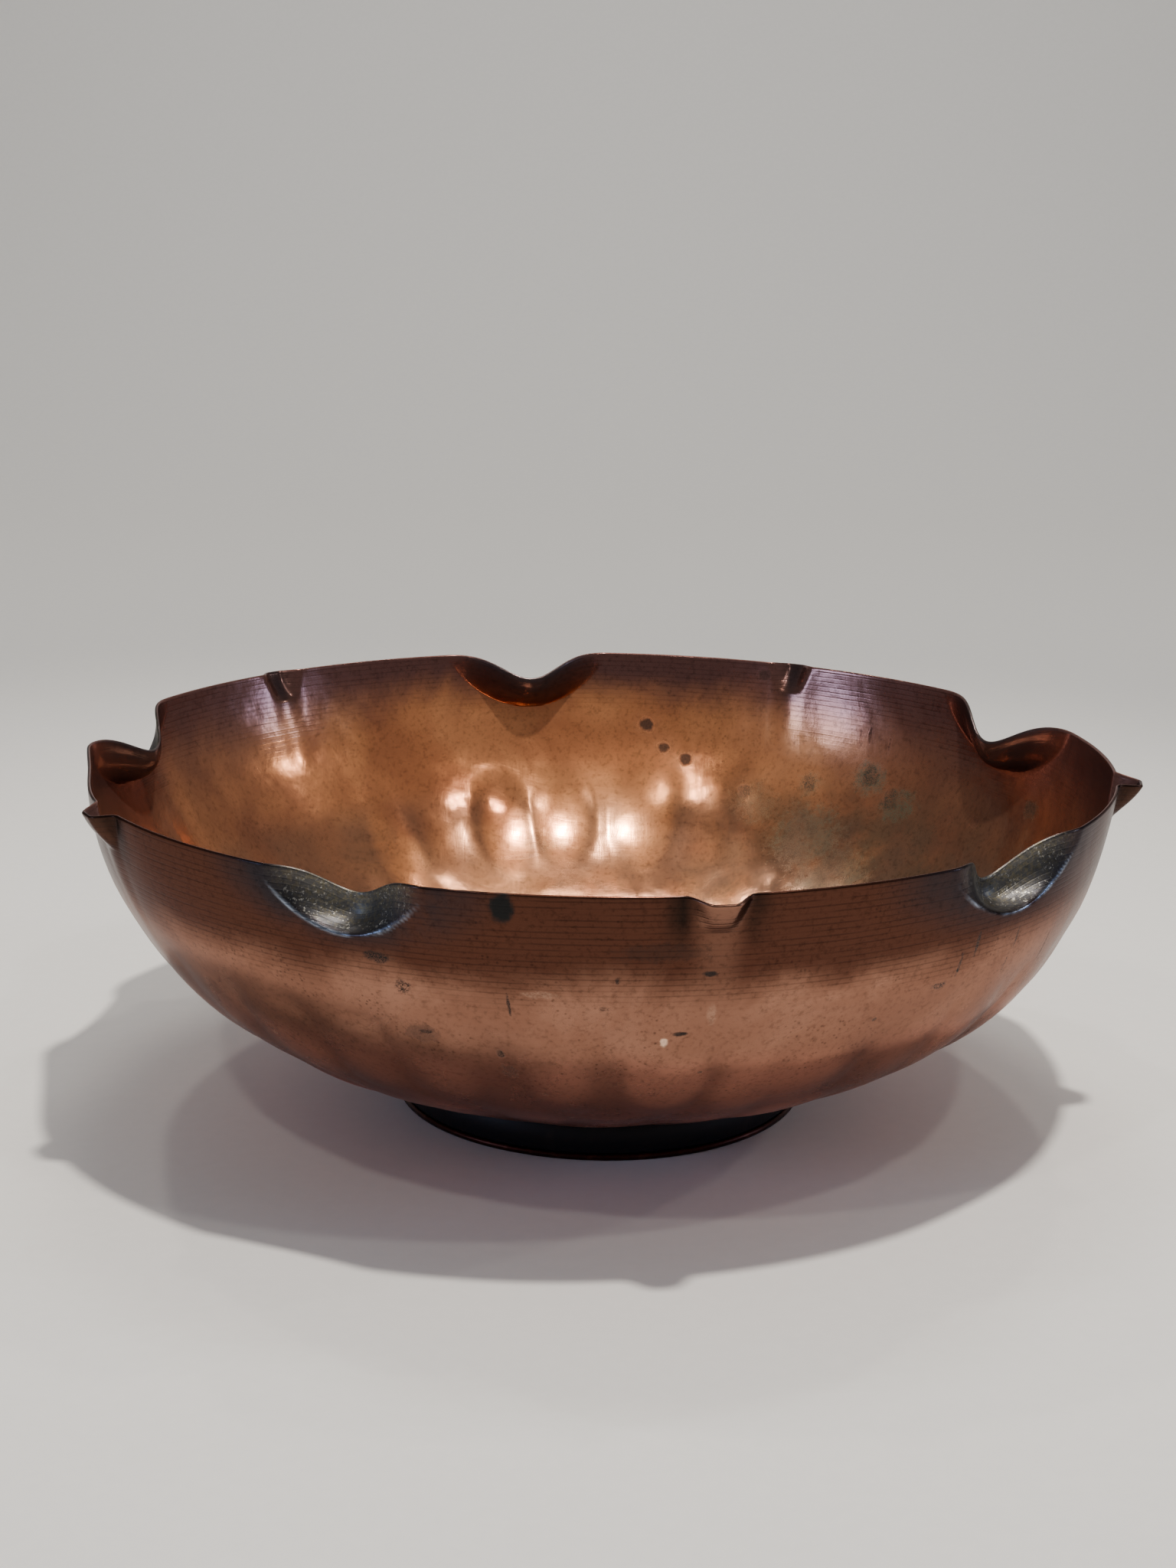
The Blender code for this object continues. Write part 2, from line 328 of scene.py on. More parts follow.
def bowl_shell(sizes):
    """The shell: outer face, rounded rim and inner face as one closed sheet of even thickness.

    The inner face is the outer one moved in along its normals by the wall. The rim is a half round between
    them, of the wall's thickness. The bottom is a few rings from the wall's end to a centre point.
    """
    angle, depths = shell_grid(sizes)
    columns = len(angle)
    outer = shell_face(sizes, *np.meshgrid(angle, depths))
    normals = face_normals(outer)
    wall = sizes.wall
    inner = outer - wall * normals
    middle = outer[0] - 0.5 * wall * normals[0]
    up = outer[0] - outer[1]
    up /= np.linalg.norm(up, axis=-1, keepdims=True)
    turns = np.linspace(0.0, np.pi, 7)[1:-1, None, None]
    rim = middle + 0.5 * wall * (np.cos(turns) * normals[0] + np.sin(turns) * up)
    shares = np.linspace(1.0, 0.0, sizes.bottom_rings + 1)[1:-1]
    centres = np.array(((0.0, 0.0, sizes.bottom_height + wall), (0.0, 0.0, sizes.bottom_height)))
    edges = zip(centres, (inner[-1], outer[-1]))
    flat_in, flat_out = (centre + shares[:, None, None] * (edge - centre) for centre, edge in edges)
    sheet = np.concatenate((flat_in[::-1], inner[::-1], rim[::-1], outer, flat_out))
    rows = len(sheet)
    points = np.concatenate((sheet.reshape(-1, 3), centres))
    first = np.arange(columns)
    tips = ((rows * columns, first, False), (rows * columns + 1, first + (rows - 1) * columns, True))
    piece = mesh_piece("bowl_shell", points, stitch(rows, columns), tips)

    whole = depths[-1]
    flats = whole + sizes.bottom_radius * (1.0 - shares)
    face_rows = len(flats) + len(depths)
    row_depth = np.concatenate((flats[::-1], depths[::-1], np.zeros(len(rim)), depths, flats))
    row_side = np.concatenate((np.ones(face_rows), np.linspace(1.0, 0.0, len(rim)), np.zeros(face_rows)))
    deepest = whole + sizes.bottom_radius
    all_angle = np.concatenate((np.tile(angle, rows), (0.0, 0.0)))
    all_depth = np.concatenate((np.repeat(row_depth, columns), (deepest, deepest)))
    all_side = np.concatenate((np.repeat(row_side, columns), (1.0, 0.0)))
    masks = rim_masks(all_angle, all_depth)
    masks["inside"] = all_side
    # Painted light: share of the side of the inside that is painted lighter.
    masks["worn_and_lit"] = bump(all_angle, *LIT_SIDE)[0]
    masks["dulled"] = bump(all_angle, *DULLED_SIDE)[0] * smooth(all_depth, *DULLED_DEPTH)
    masks["lobe"] = hammered(sizes, all_angle, all_depth)
    for name, values in masks.items():
        store(piece.data, name, values)
    wall_map(piece.data, all_angle, all_depth)
    return piece


def rim_masks(angle, depth):
    """Shares from 0 to 1 of the colours, and of the painted light and shade, that go with the rim's shapes, by
    name.

    Of the scoops: their pockets (scoop), a dark band round them (halo), their creases (crease), drawn as a
    bright
    line, a painted highlight, and the pockets' lower ends (fold), painted darker as painted shade. Of the
    beaks:
    painted shade on their sides and a darkening over the less bright ones (beak), their inner grooves
    (groove), painted dark as painted shade, and their faces (face), painted bright as a painted highlight with
    a fainter one on the ridge below. Each is the strongest of its scoops or beaks at a point.
    """
    masks = {}

    def add(name, values):
        masks[name] = np.maximum(masks.get(name, 0.0), values)

    for centre, half, _, _, deep in SCOOPS:
        _, share = bump(angle, centre, half)
        edge = deep * np.maximum(1.0 - share**2, TINY) ** CREASE_ROUND
        ends = smooth(1.0 - share, 0.05, 0.4)
        wide = offset_from(angle, centre) / (1.9 * half)
        pocket = (share < 1.0) * smooth(edge - depth, -0.6 * MM, 2.6 * MM)
        add("scoop", pocket * smooth(1.0 - share, 0.02, 0.62))
        add("halo", 1.0 - smooth(np.hypot(wide, depth / (1.5 * deep)), 0.5, 1.0))
        # Painted highlight: a thin bright line along each crease.
        add("crease", np.exp(-((depth - edge - 0.2 * MM) / (0.5 * MM)) ** 2) * ends)
        # Painted shade: the pockets' lower ends.
        add("fold", np.exp(-((depth - edge) / (0.45 * deep)) ** 2) * ends)
    for (centre, half, _, _, height), rubbed in zip(BEAKS, BEAK_HIGHLIGHT):
        offset = np.abs(offset_from(angle, centre)) / half
        sides = np.exp(-((offset - 1.05) / 0.35) ** 2)
        whole = (1.0 - smooth(offset, 0.8, 1.5)) * (1.0 - smooth(depth, 0.7 * height, 1.8 * height))
        core = bump(angle, centre, 0.85 * half)[0]
        crown = (1.0 - smooth(offset, 0.40, 0.75)) * (1.0 - smooth(depth, 0.55 * height, height))
        trail = (1.0 - smooth(offset, 0.10, 0.95)) * (1.0 - smooth(depth, 1.2 * height, BEAK_RIDGE_LENGTH))
        # Painted shade on the beaks' sides, and a darkening over the less bright beaks.
        add("beak", sides * np.clip(1.6 - depth / height, 0.0, 1.0))
        add("beak", (1.0 - rubbed) * whole)
        # Painted shade: the groove inside each beak.
        add("groove", core * (1.0 - smooth(depth, 0.8 * height, 1.5 * height)))
        # Painted highlight: the face of each beak, and a fainter one on the ridge below it.
        add("face", rubbed * np.maximum(0.7 * crown, 0.3 * trail))
    return masks


def sine(angle, count, phase=0.0):
    """Sine with that many waves round +Z, its phase in degrees."""
    return np.sin(np.radians(count * angle + phase))


def turned_ring(name, outline, waver, count=360):
    """Ring turned about +Z from a closed outline of (radius, height, outwardness) points.

    The outline runs counterclockwise, seen with the radius to the right. At azimuth a, each point moves out
    by its outwardness times waver(a), so that a fillet or a hoop can be a little uneven.
    """
    outline = np.asarray(outline)[::-1]
    angle = np.linspace(0.0, 360.0, count, endpoint=False)
    turn = np.radians(angle)[None, :]
    move = waver(angle)[None, :] * outline[:, 2:3]
    radius = outline[:, :1] + move
    height = np.repeat(outline[:, 1:2], count, axis=1)
    points = np.stack((radius * np.cos(turn), radius * np.sin(turn), height), axis=-1)
    closed = np.concatenate((points, points[:1]))
    quads = stitch(len(closed), count) % (len(outline) * count)
    return mesh_piece(name, points, quads)


# ---- Shader helpers

class Tree:
    """A node tree with short calls that make a node, set its sockets and link what feeds it."""

    def __init__(self, tree):
        self.tree = tree

    def node(self, kind, values=None, **settings):
        made = self.tree.nodes.new("ShaderNode" + kind)
        for key, value in settings.items():
            setattr(made, key, value)
        for key, value in (values or {}).items():
            self.feed(made.inputs[key], value)
        return made

    def feed(self, socket, value):
        if isinstance(value, bpy.types.NodeSocket):
            self.tree.links.new(value, socket)
        elif socket.type == "RGBA" and len(value) == 3:
            socket.default_value = (*value, 1.0)
        else:
            socket.default_value = value

    def math(self, operation, a, b=0.0, clamp=False):
        return self.node("Math", {0: a, 1: b}, operation=operation, use_clamp=clamp).outputs[0]

    def times(self, product, *factors):
        for factor in factors:
            product = self.math("MULTIPLY", product, factor)
        return product

    def rest(self, share):
        """What a share leaves of 1."""
        return self.math("SUBTRACT", 1.0, share)

    def mix(self, share, a, b):
        """Colour between a, at share 0, and b, at share 1."""
        return self.node("Mix", {0: share, 6: a, 7: b}, data_type="RGBA", clamp_factor=True).outputs[2]

    def blend(self, share, a, b):
        """Number between a, at share 0, and b, at share 1."""
        return self.node("Mix", {0: share, 2: a, 3: b}, data_type="FLOAT").outputs[0]

    def ramp(self, value, low, high):
        """0 below low, 1 above high, and a cubic between them."""
        values = {0: value, 1: low, 2: high, 3: 0.0, 4: 1.0}
        return self.node("MapRange", values, clamp=True, interpolation_type="SMOOTHSTEP").outputs[0]

    def noise(self, where, scale, detail=2.0, roughness=0.5, distortion=0.0):
        made = self.node("TexNoise", {"Vector": where, "Scale": scale, "Detail": detail})
        self.feed(made.inputs["Roughness"], roughness)
        self.feed(made.inputs["Distortion"], distortion)
        return made.outputs[0]

    def stretched(self, where, scales, detail, roughness, distortion=0.0):
        """Noise with a scale of its own along each axis."""
        place = self.node("VectorMath", {0: where, 1: scales}, operation="MULTIPLY").outputs[0]
        return self.noise(place, 1.0, detail, roughness, distortion)

    def patches(self, where, low, high, *noise):
        """Ragged patches: a ramp between two values of a noise."""
        return self.ramp(self.noise(where, *noise), low, high)

    def attribute(self, name):
        return self.node("Attribute", attribute_name=name).outputs["Fac"]


def shader_group(name, vectors, numbers, outputs, build):
    """Node group with vectors and then numbers in, each with its default, and numbers out.

    build(tree, sockets in) returns the values that go out, in order.
    """
    if name in bpy.data.node_groups:
        return bpy.data.node_groups[name]
    made = bpy.data.node_groups.new(name, "ShaderNodeTree")
    for label in vectors:
        made.interface.new_socket(name=label, in_out="INPUT", socket_type="NodeSocketVector")
    for label, default in numbers.items():
        socket = made.interface.new_socket(name=label, in_out="INPUT", socket_type="NodeSocketFloat")
        socket.default_value = default
    for label in outputs:
        made.interface.new_socket(name=label, in_out="OUTPUT", socket_type="NodeSocketFloat")
    tree = Tree(made)
    arriving = made.nodes.new("NodeGroupInput")
    leaving = made.nodes.new("NodeGroupOutput")
    for socket, value in zip(leaving.inputs, build(tree, arriving.outputs)):
        tree.feed(socket, value)
    return made


def speckle_group():
    """Fine dark tarnish dots: cells of noise, thinned by a broader noise. Puts out a mask."""
    def build(tree, given):
        where, size = given["Where"], given["Size"]
        cells = tree.node("TexVoronoi", {"Vector": where, "Scale": tree.math("DIVIDE", 1.0, size)}).outputs[0]
        dots = tree.rest(tree.ramp(cells, 0.10, 0.32))
        return [tree.times(dots, tree.patches(where, 0.44, 0.66, 55.0, 3.0, 0.6), given["Amount"])]

    return shader_group("tarnish_speckle", ("Where",), {"Size": 0.0015, "Amount": 0.5}, ("Mask",), build)


def handling_group():
    """Worn metal. Puts out cloudy tarnish, and two crossed sets of hair scratches as one height."""
    def build(tree, given):
        where = given["Where"]
        cloud = tree.noise(where, tree.math("DIVIDE", 1.0, given["Cloud size"]), 5.0, 0.62, 0.6)
        hairs = tree.stretched(where, (38.0, 410.0, 160.0), 3.0, 0.7, 1.2)
        crossed = tree.stretched(where, (460.0, 44.0, 90.0), 3.0, 0.7, 1.2)
        return [cloud, tree.math("ADD", tree.times(hairs, 0.5), tree.times(crossed, 0.5))]

    return shader_group("handled_metal", ("Where",), {"Cloud size": 0.03}, ("Cloud", "Grain"), build)


def spot_group():
    """One mark at an azimuth and a depth on the wall map, ragged at its edge. Puts out a mask."""
    def build(tree, given):
        where = given["Where"]
        parts = tree.node("SeparateXYZ", {0: given["Wall"]}).outputs
        turns = tree.math("SUBTRACT", parts[0], given["Turns"])
        turns = tree.math("SUBTRACT", turns, tree.math("ROUND", turns))
        across = tree.math("DIVIDE", tree.times(turns, GIRTH), given["Half width"])
        down = tree.math("DIVIDE", tree.math("SUBTRACT", parts[1], given["Depth"]), given["Half height"])
        far = tree.math("SQRT", tree.math("ADD", tree.times(across, across), tree.times(down, down)))
        ragged = tree.math("SUBTRACT", tree.noise(where, 420.0, 4.0, 0.7), 0.5)
        far = tree.math("ADD", far, tree.times(ragged, given["Ragged"]))
        strokes = tree.patches(where, 0.46, 0.56, 1500.0, 3.0, 0.75, 1.5)
        kept = tree.blend(given["Solid"], strokes, 1.0)
        return [tree.times(tree.rest(tree.ramp(far, 0.55, 1.15)), kept, given["Strength"])]

    numbers = {
        "Turns": 0.0, "Depth": 0.03, "Half width": 0.002, "Half height": 0.002,
        "Ragged": 1.2, "Solid": 0.5, "Strength": 1.0,
    }
    return shader_group("wall_spot", ("Wall", "Where"), numbers, ("Mask",), build)


def turned_lines_group():
    """Fine lines round the wall at an even pitch down it, broken along their length. Puts out a mask."""
    def build(tree, given):
        where = given["Where"]
        depth = tree.node("SeparateXYZ", {0: given["Wall"]}).outputs[1]
        waver = tree.times(tree.math("SUBTRACT", tree.noise(where, 24.0, 3.0), 0.5), given["Waver"])
        phase = tree.math("DIVIDE", tree.math("ADD", depth, waver), given["Pitch"])
        wave = tree.math("ABSOLUTE", tree.math("SUBTRACT", tree.math("FRACT", phase), 0.5))
        broken = tree.ramp(tree.stretched(where, (60.0, 60.0, 900.0), 2.0, 0.6), 0.28, 0.58)
        return [tree.times(tree.rest(tree.ramp(wave, 0.02, 0.22)), broken)]

    return shader_group("turned_lines", ("Wall", "Where"), {"Pitch": 0.002, "Waver": 0.0012}, ("Mask",), build)


def placed(tree, group, **values):
    """A shader group placed in a tree, with its sockets set or fed."""
    made = tree.node("Group", node_tree=group)
    for label, value in values.items():
        tree.feed(made.inputs[label.replace("_", " ").capitalize()], value)
    return made.outputs


def new_material(name):
    """New material, its tree, its Principled shader and the place in object coordinates."""
    made = bpy.data.materials.new(name)
    made.use_nodes = True
    tree = Tree(made.node_tree)
    return made, tree, made.node_tree.nodes["Principled BSDF"], tree.node("TexCoord").outputs["Object"]


def layered(tree, base, layers):
    """A base colour under layers: each a mask, how much of it shows, and a colour."""
    for mask, strength, colour in layers:
        base = tree.mix(tree.times(mask, strength), base, colour)
    return base


def raise_normal(tree, shader, height):
    """Bump of the shader's normal by a height in metres."""
    made = tree.node("Bump", {"Strength": 1.0, "Distance": 1.0, "Height": height})
    tree.feed(shader.inputs["Normal"], made.outputs[0])


# ---- Materials

# Marks: azimuth, depth, half width, half height (mm), raggedness, how solid they are from loose strokes to a
# filled spot, and strength.
OUTSIDE_MARKS = (
    (-111.0, 20.6, 3.6, 1.9, 1.6, 0.25, 0.9), (-109.1, 28.8, 2.2, 2.6, 1.8, 0.0, 0.8),
    (-108.7, 44.7, 5.0, 4.0, 1.5, 0.5, 0.4), (-108.2, 44.0, 2.4, 0.9, 1.5, 0.6, 0.8),
    (-100.7, 51.2, 1.3, 1.9, 1.3, 0.6, 0.8), (-98.7, 31.4, 0.5, 3.8, 1.2, 0.4, 0.85),
    (-79.3, 21.4, 2.0, 0.9, 1.2, 0.8, 0.8), (-82.0, 41.1, 2.0, 0.9, 1.1, 0.8, 0.85),
    (-96.6, 69.8, 1.1, 0.6, 1.0, 0.6, 0.6), (-79.3, 56.9, 0.8, 0.6, 1.0, 0.6, 0.7),
    (-88.1, 23.1, 0.7, 1.3, 1.2, 0.3, 0.7), (-98.4, 3.4, 3.0, 4.4, 0.9, 0.9, 0.95),
    (-100.2, 59.0, 2.6, 3.6, 2.0, 0.0, 0.6), (-89.5, 32.0, 1.6, 0.8, 1.6, 0.1, 0.5),
    (-48.7, 24.0, 0.6, 4.4, 1.8, 0.2, 0.85), (-50.6, 30.0, 0.6, 4.2, 1.8, 0.2, 0.85),
    (-52.7, 35.5, 2.6, 1.2, 1.8, 0.1, 0.8), (-41.8, 27.0, 0.5, 4.2, 1.8, 0.2, 0.8),
    (-42.2, 35.0, 0.5, 4.0, 1.8, 0.1, 0.7), (-33.5, 34.0, 0.5, 6.5, 1.8, 0.1, 0.7),
    (-60.0, 43.9, 0.8, 0.8, 1.2, 0.7, 0.6), (-84.0, 15.0, 12.0, 3.0, 1.6, 0.6, 0.25),
    (20.0, 47.0, 2.6, 1.8, 1.5, 0.3, 0.7), (74.0, 33.0, 1.4, 2.8, 1.5, 0.2, 0.7),
    (118.0, 58.0, 2.4, 1.5, 1.5, 0.4, 0.7), (150.0, 25.0, 0.6, 4.4, 1.8, 0.2, 0.7),
    (-170.0, 42.0, 2.2, 1.6, 1.5, 0.3, 0.7), (-131.0, 60.0, 1.4, 1.0, 1.2, 0.6, 0.6),
)
INSIDE_MARKS = (
    (83.1, 25.6, 3.3, 3.1, 0.8, 0.95, 0.95), (80.6, 33.8, 2.5, 2.5, 0.9, 0.9, 0.9),
    (77.3, 37.8, 2.9, 2.7, 0.9, 0.9, 0.9), (66.6, 4.2, 2.8, 2.6, 1.0, 0.8, 0.8),
    (68.0, 47.8, 3.0, 3.4, 1.2, 0.6, 0.7), (58.2, 41.8, 2.8, 3.4, 1.3, 0.6, 0.7),
    (48.8, 35.1, 3.6, 4.2, 1.3, 0.4, 0.75), (44.7, 41.6, 4.0, 4.0, 1.5, 0.3, 0.7),
    (50.0, 20.3, 0.7, 3.6, 1.6, 0.6, 0.85), (46.7, 23.0, 0.7, 3.2, 1.6, 0.5, 0.8),
    (17.7, 28.9, 3.4, 2.6, 1.6, 0.5, 0.6), (28.0, 41.0, 2.6, 2.4, 1.1, 0.6, 0.6),
    (33.0, 43.0, 1.6, 1.8, 1.1, 0.6, 0.5), (-30.0, 40.0, 2.6, 2.8, 1.2, 0.6, 0.6),
    (-95.0, 38.0, 2.8, 2.4, 1.2, 0.6, 0.6), (-150.0, 52.0, 3.0, 3.4, 1.3, 0.5, 0.5),
    (-60.0, 66.0, 3.6, 3.2, 1.3, 0.5, 0.6), (104.0, 78.0, 9.0, 1.2, 1.9, 0.2, 0.6),
)
# Painted highlights: small bright spots on the outer wall, in the columns of the marks.
HIGHLIGHT_SPOTS = (
    (-83.6, 44.0, 1.2, 1.7, 1.3, 0.8, 0.95), (-95.5, 28.0, 5.5, 1.2, 1.8, 0.3, 0.16),
    (-105.0, 91.0, 2.2, 0.5, 1.6, 0.5, 0.6), (-94.0, 92.0, 1.4, 0.5, 1.6, 0.5, 0.7),
    (-98.0, 94.0, 1.8, 0.4, 1.6, 0.5, 0.6), (-79.0, 35.0, 1.4, 3.4, 1.8, 0.3, 0.16),
)
VERDIGRIS = (
    (48.8, 36.0, 7.5, 7.0, 1.6, 0.4, 0.9), (43.0, 43.0, 9.0, 7.0, 1.7, 0.3, 0.8),
    (58.0, 42.0, 5.0, 5.0, 1.6, 0.4, 0.7), (56.0, 63.0, 17.0, 15.0, 1.8, 0.5, 0.75),
    (49.0, 75.0, 20.0, 14.0, 1.8, 0.5, 0.6), (66.0, 52.0, 10.0, 9.0, 1.8, 0.3, 0.5),
    (17.7, 29.0, 5.0, 4.0, 1.7, 0.3, 0.6), (99.0, 72.0, 12.0, 5.0, 1.8, 0.2, 0.4),
    (-70.0, 84.0, 16.0, 12.0, 1.8, 0.4, 0.6),
)

def marks(tree, at, rows):
    """Mask of a list of marks: the strongest of them at each point."""
    group = spot_group()
    total = None
    for azimuth, depth, wide, tall, ragged, solid, strength in rows:
        mask = placed(
            tree, group, wall=at.wall, where=at.where, turns=azimuth / 360.0, depth=depth * MM,
            half_width=wide * MM, half_height=tall * MM, ragged=ragged, solid=solid, strength=strength,
        )[0]
        total = tree.math("MAXIMUM", total, mask) if total else mask
    return total


class WallMasks:
    """What the shell's colours share: places on it, clouds, scratches, turned lines, dots, valleys that carry
    painted shade, scoops.
    """

    def __init__(self, tree, where):
        self.tree = tree
        self.where = where
        self.wall = tree.node("UVMap", uv_map="wall").outputs["UV"]
        self.depth = tree.node("SeparateXYZ", {0: self.wall}).outputs[1]
        self.inside = tree.ramp(tree.attribute("inside"), 0.35, 0.65)
        self.cloud, self.grain = placed(tree, handling_group(), where=where, cloud_size=0.045)[:2]
        drift = tree.times(tree.math("SUBTRACT", self.cloud, 0.5), 0.022)
        self.soft_depth = tree.math("ADD", self.depth, drift)
        lines = placed(tree, turned_lines_group(), wall=self.wall, where=where, pitch=1.7 * MM, waver=1.0 * MM)
        self.lines = lines[0]
        self.dots = placed(tree, speckle_group(), where=where, size=1.6 * MM, amount=1.0)[0]
        # Painted shade: the valleys between the hammered lobes, from about 46 mm down, darken the colour.
        valley = tree.rest(tree.ramp(tree.attribute("lobe"), 0.28, 0.74))
        self.valley = tree.times(valley, tree.ramp(self.depth, 0.046, 0.060))
        self.scoop = tree.attribute("scoop")

    def clouded(self, name, low, high):
        """A mask stored on the shell, broken up by the clouds."""
        return self.tree.times(self.tree.attribute(name), self.tree.ramp(self.cloud, low, high))

    def lines_above(self, low, high):
        """The turned lines, gone below a band of depths."""
        return self.tree.times(self.lines, self.tree.rest(self.tree.ramp(self.soft_depth, low, high)))


def outside_copper(tree, at, colours):
    """Colour of the outside, and the mask of its dark marks.

    A dark band under the rim, a paler one, then orange brown that reddens to the foot. The dark band is a
    painted reflection of dark surroundings, the pale one a painted reflection of the lit floor, and the red is
    lightened against the shade near the foot. The scoops are a speckled gunmetal with painted highlights in
    pale specks, their lower ends painted darker and bluer as painted shade and their creases drawn as a bright
    line, a painted highlight, in a dark band round them. The beaks carry painted shade on their sides and a
    darkening over the less bright ones, and faces painted bright as a painted highlight. The valleys between
    the hammered lobes carry painted shade, and small painted highlights stand on the wall.
    """
    # Painted reflections in bands down the wall: dark under the rim, pale below, and red near the foot
    # lightened against the shade there.
    pale = tree.mix(tree.ramp(at.cloud, 0.38, 0.66), colours.outside_brown, colours.outside_pale_reflection)
    lower = tree.mix(tree.ramp(at.soft_depth, 0.047, 0.062), pale, colours.outside_orange)
    lower = tree.mix(tree.ramp(at.soft_depth, 0.076, 0.105), lower, colours.outside_red_shade_lift)
    plain = tree.mix(tree.ramp(at.soft_depth, 0.018, 0.034), colours.rim_band_dark_reflection, lower)
    olive = tree.mix(tree.patches(at.where, 0.45, 0.62, 900.0, 2.0, 0.7), colours.gunmetal, colours.olive)
    # Painted highlights: pale specks over the scoops' pockets.
    glint_highlights = tree.times(
        tree.patches(at.where, 0.56, 0.68, 1250.0, 3.0, 0.7),
        tree.patches(at.where, 0.40, 0.60, 160.0, 2.0),
    )
    # Painted shade: the pockets' lower ends are painted darker and bluer.
    pocket = layered(tree, olive, (
        (at.clouded("fold", 0.2, 0.5), 0.8, colours.fold_shade_blue),
        (glint_highlights, 0.9, colours.scoop_glint_highlight),
    ))
    # Painted highlight: the bright line along each crease.
    crease = tree.times(tree.attribute("crease"), tree.patches(at.where, 0.38, 0.60, 85.0, 3.0, 0.6))
    dark_marks = marks(tree, at, OUTSIDE_MARKS)
    return layered(tree, plain, (
        # Painted shade in the valleys between the hammered lobes.
        (at.valley, 0.5, colours.valley_shade_brown),
        (at.lines_above(0.022, 0.036), 0.42, colours.line_brown),
        (at.dots, 0.55, colours.line_brown),
        # Painted shade on the beaks' sides, and a darkening over the less bright beaks.
        (at.clouded("beak", 0.15, 0.48), 0.85, colours.soot_and_shade),
        (at.clouded("halo", 0.22, 0.55), 0.95, colours.halo_and_groove_shade),
        (at.scoop, 1.0, pocket),
        (crease, 0.95, colours.crease_highlight_blue),
        # Painted highlight on the beaks' faces and on the ridge below the brightest.
        (tree.attribute("face"), 0.75, colours.beak_face_highlight),
        # Painted highlights: small bright spots on the wall.
        (marks(tree, at, HIGHLIGHT_SPOTS), 1.0, colours.spot_highlight),
        (dark_marks, 1.15, colours.soot_and_shade),
    )), dark_marks


def inside_copper(tree, at, colours):
    """Colour of the inside, and the masks of its green corrosion and its dark spots.

    Orange copper, rubbed bright in patches on one side, browner away from there and under the rim: the lighter
    side and the browner sides are painted light, and the brown band under the rim is a painted reflection of
    the dark wall across. The valleys between the lobes carry painted shade, the scoops' flaps are painted dark
    as a painted reflection, and the grooves of the beaks are painted dark as painted shade.
    """
    # Painted light: the share of the lighter side, which also brightens its rubbed patches; the other sides
    # are browner.
    side = tree.attribute("worn_and_lit")
    soft = tree.patches(at.where, 0.36, 0.60, 26.0, 3.0, 0.55)
    worn_and_lit = tree.times(
        tree.blend(0.6, tree.ramp(at.cloud, 0.36, 0.62), soft),
        tree.blend(tree.patches(at.where, 0.42, 0.60, 13.0, 2.0, 0.5), 0.5, 1.0),
        tree.blend(side, 0.35, 1.0),
    )
    rubbed = tree.mix(side, colours.inside_shaded_side, colours.inside_orange)
    glow = tree.mix(worn_and_lit, rubbed, colours.inside_pale)
    # Painted reflection: a brown band under the rim, where the wall reflects the dark wall across.
    below_rim = tree.ramp(at.soft_depth, 0.004, tree.blend(side, 0.042, 0.022))
    plain = tree.mix(below_rim, colours.inside_rim_dark_reflection, glow)
    blotches = tree.patches(at.where, 0.50, 0.72, 36.0, 5.0, 0.65, 0.8)
    corroded = tree.times(tree.attribute("dulled"), tree.patches(at.where, 0.30, 0.60, 60.0, 5.0, 0.65))
    green = tree.times(marks(tree, at, VERDIGRIS), tree.patches(at.where, 0.28, 0.47, 150.0, 5.0, 0.7))
    spots = marks(tree, at, INSIDE_MARKS)
    return layered(tree, plain, (
        (at.lines_above(0.012, 0.026), 0.22, colours.line_brown),
        (tree.times(blotches, tree.ramp(at.soft_depth, 0.045, 0.075)), 0.55, colours.inside_dull_and_valley_shade),
        (corroded, 0.7, colours.inside_green),
        (green, 0.95, colours.verdigris),
        (spots, 1.0, colours.spot_brown),
        # Painted shade in the valleys between the hammered lobes.
        (at.valley, 0.6, colours.inside_dull_and_valley_shade),
        (at.dots, 0.25, colours.spot_brown),
        # Painted reflection: the scoops' flaps, seen from inside, are painted dark.
        (at.scoop, 0.9, colours.flap_dark_reflection),
        # Painted shade in the grooves inside the beaks.
        (at.clouded("groove", 0.15, 0.45), 0.8, colours.halo_and_groove_shade),
    )), green, spots


